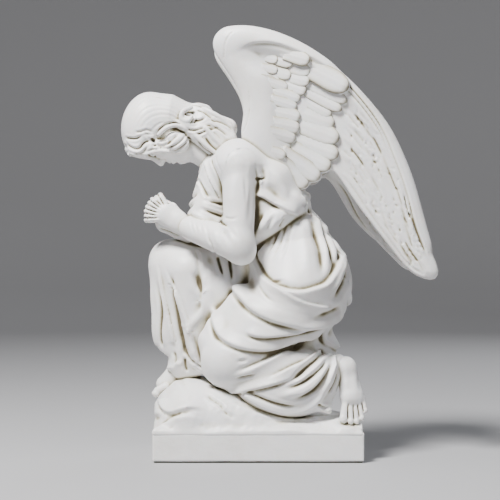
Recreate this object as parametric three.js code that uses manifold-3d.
// A kneeling, praying angel in cast resin: a statuette of separately cast pieces bonded together.
// The angel faces -X and kneels on its left knee, on a rocky mound over a rectangular plinth.
// Millimetres, +Z up. The origin is the centre of the felt under the plinth, on the resting face.
// The angel's left side is the -Y side.
import * as THREE from "three";
import { mergeVertices } from "three/addons/utils/BufferGeometryUtils.js";
import Module from "manifold-3d";

const wasm = await Module();
wasm.setup();

// ---- Driving dimensions ----
const PLINTH_LENGTH = 204;
const PLINTH_WIDTH = 124;
const PLINTH_TOP = 29;
const PLINTH_EDGE_RADIUS = 1.5;
const FELT_THICKNESS = 1;
const FELT_INSET = 2; // the felt stops this far inside the plinth's edge
const POCKET_WALL = 16; // the plinth is hollow underneath, with walls this thick
const POCKET_DEPTH = 14;
const GAP = 0.3; // the bond line between two castings
const BEHIND = 1; // the sign of the angel's right side, +Y
const NEAR = -1; // the sign of the angel's left side, -Y
const WING_THICKNESS = 13;
const WING_EDGE_BEVEL = 2;
const WING_SPREAD = 0.13; // how far a wing leans outwards for each millimetre towards its tip
const WING_FLARE = 0.1; // and for each millimetre upwards
const WING_ROOT = new THREE.Vector3(20, 26, 270); // a point in the middle of the right wing's sheet
const PEG_RADIUS = 2.5;
const PEG_LENGTH = 40;
const ROUND_SIDES = 12;
const ROUND_BANDS = 8;
const SLIM_SIDES = 8; // for fingers, toes and pegs

// ---- Materials ----
const resin = new THREE.MeshStandardMaterial({ color: 0xdedad0, roughness: 0.55, metalness: 0 });
const felt = new THREE.MeshStandardMaterial({ color: 0x2e3a2c, roughness: 0.95, metalness: 0 });
const steel = new THREE.MeshStandardMaterial({ color: 0xa8aaad, roughness: 0.35, metalness: 1 });

// ---- Solids ----
// A closed three.js geometry as a solid that can be joined and cut.
function solidOf(geometry) {
  const flat = geometry.index ? geometry.toNonIndexed() : geometry;
  const bare = new THREE.BufferGeometry().setAttribute("position", flat.getAttribute("position"));
  const merged = mergeVertices(bare, 1e-3);
  const corners = merged.index.array;
  const triangles = [];
  for (let i = 0; i < corners.length; i += 3) {
    const [a, b, c] = corners.slice(i, i + 3);
    if (a !== b && b !== c && c !== a) triangles.push(a, b, c);
  }
  const mesh = new wasm.Mesh({
    numProp: 3,
    vertProperties: merged.attributes.position.array,
    triVerts: new Uint32Array(triangles),
  });
  return new wasm.Manifold(mesh);
}

// A solid back as a three.js geometry.
function geometryOf(solid) {
  const { numProp, numVert, vertProperties, triVerts } = solid.getMesh();
  const points = new Float32Array(numVert * 3);
  for (let i = 0; i < numVert; i++) points.set(vertProperties.subarray(i * numProp, i * numProp + 3), i * 3);
  const geometry = new THREE.BufferGeometry();
  geometry.setAttribute("position", new THREE.BufferAttribute(points, 3));
  geometry.setIndex(new THREE.BufferAttribute(triVerts, 1));
  geometry.computeVertexNormals();
  return geometry;
}

// A form is a function that gives its solid, grown all round by the margin it is called with.
// ball: an ellipsoid, leaning by lean degrees about Y.
const ball = (centre, radii, lean = 0) => (margin) => {
  const shape = new THREE.SphereGeometry(1, ROUND_SIDES, ROUND_BANDS);
  shape.rotateX(Math.PI / 2);
  shape.scale(...radii.map((r) => r + margin));
  shape.rotateY(THREE.MathUtils.degToRad(lean));
  return solidOf(shape.translate(...centre));
};

// limb: a tapered round bar with domed ends, pressed flatter across Y where flat is under 1.
const limb = (from, to, fromRadius, toRadius, flat = 1, sides = ROUND_SIDES) => (margin) => {
  const start = new THREE.Vector3(...from);
  const way = new THREE.Vector3(...to).sub(start);
  const [r0, r1] = [fromRadius + margin, toRadius + margin];
  const steps = Math.round(sides / 4);
  const dome = (radius, centre, low, high) =>
    Array.from({ length: steps + 1 }, (_, i) => {
      const angle = THREE.MathUtils.degToRad(low + ((high - low) * i) / steps);
      return new THREE.Vector2(Math.max(radius * Math.cos(angle), 0), centre + radius * Math.sin(angle));
    });
  const profile = [...dome(r0, 0, -90, 0), ...dome(r1, way.length(), 0, 90)];
  profile[0].x = 0;
  profile.at(-1).x = 0;
  const shape = new THREE.LatheGeometry(profile, sides);
  const upright = new THREE.Vector3(0, 1, 0);
  shape.applyQuaternion(new THREE.Quaternion().setFromUnitVectors(upright, way.clone().normalize()));
  shape.scale(1, flat, 1);
  return solidOf(shape.translate(...from));
};

// slab: a side outline in X and Z, with thickness across Y about the middle and rounded edges.
const slab = (outline, middle, thickness, bevel, lean = new THREE.Matrix4()) => (margin) => {
  const shape = new THREE.ExtrudeGeometry(outline, {
    depth: thickness - 2 * bevel,
    bevelSize: bevel + margin,
    bevelThickness: bevel + margin,
    bevelOffset: -bevel,
    bevelSegments: 2,
    curveSegments: 3,
  });
  shape.translate(0, 0, bevel - thickness / 2).rotateX(Math.PI / 2);
  return solidOf(shape.applyMatrix4(lean).translate(0, middle, 0));
};

const fuse = (forms, margin = 0) => forms.map((form) => form(margin)).reduce((all, one) => all.add(one));
// What is left of a solid beside its neighbours, without the crumbs a cut leaves.
const cutBy = (solid, forms) => {
  const pieces = solid.subtract(fuse(forms, GAP)).decompose();
  return pieces.reduce((largest, piece) => (piece.volume() > largest.volume() ? piece : largest));
};

const slim = (from, to, fromRadius, toRadius) => limb(from, to, fromRadius, toRadius, 1, SLIM_SIDES);

// The same place on the angel's left (NEAR) or right (BEHIND) side.
const onSide = (side, [x, y, z]) => [x, side * y, z];

// ---- Base ----
function plinthBlock() {
  const half = new THREE.Vector2(PLINTH_LENGTH / 2, PLINTH_WIDTH / 2);
  const outline = new THREE.Shape([
    new THREE.Vector2(-half.x, FELT_THICKNESS + GAP),
    new THREE.Vector2(half.x, FELT_THICKNESS + GAP),
    new THREE.Vector2(half.x, PLINTH_TOP),
    new THREE.Vector2(-half.x, PLINTH_TOP),
  ]);
  const block = slab(outline, 0, PLINTH_WIDTH, PLINTH_EDGE_RADIUS)(0);
  const pocket = new THREE.BoxGeometry(
    PLINTH_LENGTH - 2 * POCKET_WALL,
    PLINTH_WIDTH - 2 * POCKET_WALL,
    2 * POCKET_DEPTH,
  );
  return block.subtract(solidOf(pocket.translate(0, 0, FELT_THICKNESS)));
}

function feltSheet() {
  const sheet = new THREE.BoxGeometry(
    PLINTH_LENGTH - 2 * FELT_INSET,
    PLINTH_WIDTH - 2 * FELT_INSET,
    FELT_THICKNESS,
  );
  return solidOf(sheet.translate(0, 0, FELT_THICKNESS / 2));
}

// The mound: boulders over a low bed of ground, high under the forward foot and falling towards the other.
const BED_HEIGHT = 7;
const boulders = [
  ball([-66, -6, 38], [38, 56, 38], 4),
  ball([-58, 22, 40], [44, 40, 37]),
  ball([-14, 0, 34], [56, 62, 34], 8),
  ball([40, 4, 32], [60, 58, 17], 4),
];
const mound = (margin) => {
  const bed = new THREE.BoxGeometry(PLINTH_LENGTH - 4, PLINTH_WIDTH - 4, 2 * BED_HEIGHT);
  const plot = new THREE.BoxGeometry(PLINTH_LENGTH - 2, PLINTH_WIDTH - 2, 100);
  const ground = fuse(boulders, margin).add(solidOf(bed.translate(0, 0, PLINTH_TOP)));
  return ground.intersect(solidOf(plot.translate(0, 0, PLINTH_TOP + GAP + 50)));
};

// ---- Feet ----
const TOE_SPACING = 5.2;
// The trailing foot stands on its toes, heel up; its toes fan out along X.
const leftToes = [0, 1, 2, 3, 4].map((i) =>
  slim([83 + TOE_SPACING * i * 0.8, -39, 56], [79 + TOE_SPACING * i, -41, 43 + 2.4 * i], 4, 4 - 0.35 * i),
);
const leftFoot = [limb([90, -35, 91], [88, -38, 58], 11.5, 12.5, 0.8), ...leftToes];
// The forward foot lies on the mound, toes over its edge; its toes fan out along Y.
const rightToes = [0, 1, 2, 3, 4].map((i) => {
  const across = TOE_SPACING * i;
  return slim([-90, 10 + across, 69], [-101 + 1.6 * i, 9 + across, 61], 4.4 - 0.3 * i, 4.2 - 0.35 * i);
});
const rightFoot = [limb([-66, 20, 84], [-88, 19, 70], 13, 9), ...rightToes];

// ---- Robe, below the waist ----
const rightLegDrapery = [
  limb([24, 27, 170], [-82, 24, 188], 36, 25), // thigh
  limb([-83, 22, 188], [-82, 20, 120], 27, 22), // shin, under its cloth
  limb([-70, 4, 186], [-60, 4, 96], 22, 13), // folds falling between the legs
  limb([-34, 16, 160], [-38, 12, 98], 34, 30), // cloth hanging under the thigh
  limb([-75, 22, 120], [-72, 22, 92], 19, 14), // hem over the ankle
];
const leftLegDrapery = [
  limb([38, -24, 158], [-26, -30, 98], 44, 29), // thigh to knee
  limb([-26, -30, 96], [64, -36, 82], 27, 24), // shin
  ball([24, -38, 70], [48, 22, 30], 6), // hem gathered on the mound
  ball([34, 12, 104], [46, 44, 42]), // cloth behind, under the seat
];
const hipMantle = [
  ball([42, 0, 172], [53, 57, 54], -16), // seat and hips
  limb([36, 0, 200], [34, 0, 214], 42, 36, 1.1), // gathers up to the waist
];

// ---- Robe, above the waist ----
const overfold = [ball([16, 0, 234], [46, 50, 22], -34)];
const torso = [
  limb([10, 0, 244], [-24, 0, 276], 40, 34, 1.12), // back and chest
  limb([-20, -34, 286], [-20, 34, 286], 21, 21), // shoulders
  limb([-28, 0, 292], [-48, 0, 302], 20, 16), // collar
];
const sleeve = (side) => [
  limb(onSide(side, [-21, 41, 287]), onSide(side, [-24, 50, 210]), 21, 18, 0.95),
  limb(onSide(side, [-24, 50, 208]), onSide(side, [-71, 15, 227]), 17, 12),
];

// ---- Hands, palm to palm ----
// The fingers of both hands fan from one centre, the right hand's between the left hand's.
const FAN_CENTRE = new THREE.Vector3(-84, 0, 236);
const FAN_START = { [NEAR]: 118, [BEHIND]: 127 }; // the forefinger's angle from the +X way, in degrees
const FAN_STEP = 17.5;
const onFan = (side, degrees, radius, y) => {
  const angle = THREE.MathUtils.degToRad(degrees);
  return [FAN_CENTRE.x + radius * Math.cos(angle), side * y, FAN_CENTRE.z + radius * Math.sin(angle)];
};
const hand = (side) => {
  const fingers = [0, 1, 2, 3].map((i) => {
    const degrees = FAN_START[side] + FAN_STEP * i;
    return slim(onFan(side, degrees, 12, 6), onFan(side, degrees, 27.5, 4), 4, 3.1);
  });
  const drop = side === BEHIND ? 4 : 0; // the right wrist is carried a little lower
  const palm = limb(onSide(side, [-72, 12, 228 - drop]), onSide(side, [-92, 7, 240 - drop]), 9.5, 11, 0.75);
  const thumb = slim(onSide(side, [-80, 7, 240]), onSide(side, [-91, 4, 252]), 4.4, 3.6);
  return [palm, thumb, ...fingers];
};
// What lies on this hand's own side of the plane where the palms meet.
const ownHalf = (solid, side) => {
  const half = new THREE.BoxGeometry(100, 60, 100).translate(-90, side * (30 + GAP / 2), 240);
  return solid.intersect(solidOf(half));
};

// ---- Head ----
const head = [
  ball([-101, 0, 326], [33, 24, 34], -8), // skull
  ball([-91, 0, 303], [23, 17, 17], -6), // face and jaw, looking down
  limb([-76, 0, 314], [-50, 0, 302], 14, 15), // neck
];
const hair = [
  ball([-100, 0, 330], [37, 28, 34], 12), // cap over the crown
  limb([-74, 0, 338], [-50, 0, 337], 22, 15), // knot at the nape
  limb([-54, -13, 328], [-34, -18, 322], 12, 9), // locks over the left shoulder
  limb([-54, 13, 328], [-34, 18, 322], 12, 9), // and over the right
];
const faceClearance = [ball([-104, 0, 286], [34, 40, 22], -14)];

// ---- Wings ----
// The sheet's outline in X and Z: up the arm from the root, round the wrist, down the leading edge
// to the tip, and back along the flight feathers and the coverts. The right wing's flight feathers
// hang a little lower.
const FEATHER_DROP = { [NEAR]: 0, [BEHIND]: 12 };
function wingOutline(side) {
  const drop = FEATHER_DROP[side];
  const along = (...points) => points.map(([x, z]) => new THREE.Vector2(x, z));
  const outline = new THREE.Shape();
  outline.moveTo(6, 280);
  outline.splineThru(along([-12, 305], [-20, 326], [-12, 352], [-19, 378], [-33, 394], [-43, 407]));
  outline.splineThru(along([-38, 419], [-24, 423], [15, 415], [56, 396], [90, 368], [124, 327], [148, 274]));
  outline.splineThru(along([165, 214], [177, 187], [176, 177], [168, 175]));
  outline.splineThru(along([149, 183], [127, 209 - 0.7 * drop], [98, 247 - drop], [70, 283 - 0.3 * drop]));
  outline.splineThru(along([56, 272], [42, 264], [24, 262], [6, 280]));
  return outline;
}
const wing = (side) => {
  // X and Z stay as drawn; Y leans outwards with the spread and the flare.
  const lean = new THREE.Matrix4().set(
    1, 0, 0, 0,
    side * WING_SPREAD, 1, side * WING_FLARE, -side * (WING_SPREAD * WING_ROOT.x + WING_FLARE * WING_ROOT.z),
    0, 0, 1, 0,
    0, 0, 0, 1,
  );
  return slab(wingOutline(side), side * WING_ROOT.y, WING_THICKNESS, WING_EDGE_BEVEL, lean);
};
const peg = (side, foot) => slim(onSide(side, foot), onSide(side, pegEnd(foot)), PEG_RADIUS, PEG_RADIUS);
function pegEnd([x, y, z]) {
  const way = new THREE.Vector3(0.74, 0.16, 0.65).normalize().multiplyScalar(PEG_LENGTH - 2 * PEG_RADIUS);
  return [x + way.x, y + way.y, z + way.z];
}
const PEG_FEET = { lower: [8, 22, 250], upper: [-4, 22, 268] };

// ---- Assembly ----
const angel = new THREE.Group();
function place(name, solid, material) {
  const mesh = new THREE.Mesh(geometryOf(solid), material);
  mesh.name = name;
  angel.add(mesh);
}

const hands = [...hand(NEAR), ...hand(BEHIND)];
const sleeves = [...sleeve(NEAR), ...sleeve(BEHIND)];
const feet = [...leftFoot, ...rightFoot];
const pegs = [NEAR, BEHIND].flatMap((side) => Object.values(PEG_FEET).map((foot) => peg(side, foot)));
const legs = [...rightLegDrapery, ...leftLegDrapery];

place("felt_underlay", feltSheet(), felt);
place("plinth", plinthBlock(), resin);
place("rock_mound", cutBy(mound(0), [...feet, ...legs]), resin);
place("left_foot", fuse(leftFoot), resin);
place("right_foot", fuse(rightFoot), resin);
place("left_leg_drapery", cutBy(fuse(leftLegDrapery), [...leftFoot, ...hipMantle]), resin);
const besideRightLeg = [...rightFoot, ...leftLegDrapery, ...hipMantle, ...sleeves];
place("right_leg_drapery", cutBy(fuse(rightLegDrapery), besideRightLeg), resin);
place("hip_mantle", cutBy(fuse(hipMantle), [...sleeves, ...overfold]), resin);
place("overfold", cutBy(fuse(overfold), [...legs, ...sleeves, ...pegs]), resin);
place("torso", cutBy(fuse(torso), [...overfold, ...hipMantle, ...legs, ...sleeves, ...pegs, ...head]), resin);
place("left_sleeve", cutBy(fuse(sleeve(NEAR)), [...hands, ...leftLegDrapery]), resin);
place("right_sleeve", cutBy(fuse(sleeve(BEHIND)), hands), resin);
for (const [name, side] of [["left_hand", NEAR], ["right_hand", BEHIND]]) {
  place(name, ownHalf(fuse(hand(side)), side), resin);
}
place("head", fuse(head), resin);
place("hair", cutBy(fuse(hair), [...head, ...faceClearance, ...torso, ...sleeves]), resin);
const behindWings = [...torso, ...overfold, ...hipMantle, ...hair, ...sleeves, ...pegs];
for (const [name, side] of [["left", NEAR], ["right", BEHIND]]) {
  place(`${name}_wing`, cutBy(wing(side)(0), behindWings), resin);
  for (const [level, foot] of Object.entries(PEG_FEET)) {
    place(`${name}_wing_${level}_peg`, peg(side, foot)(0), steel);
  }
}

export default angel;
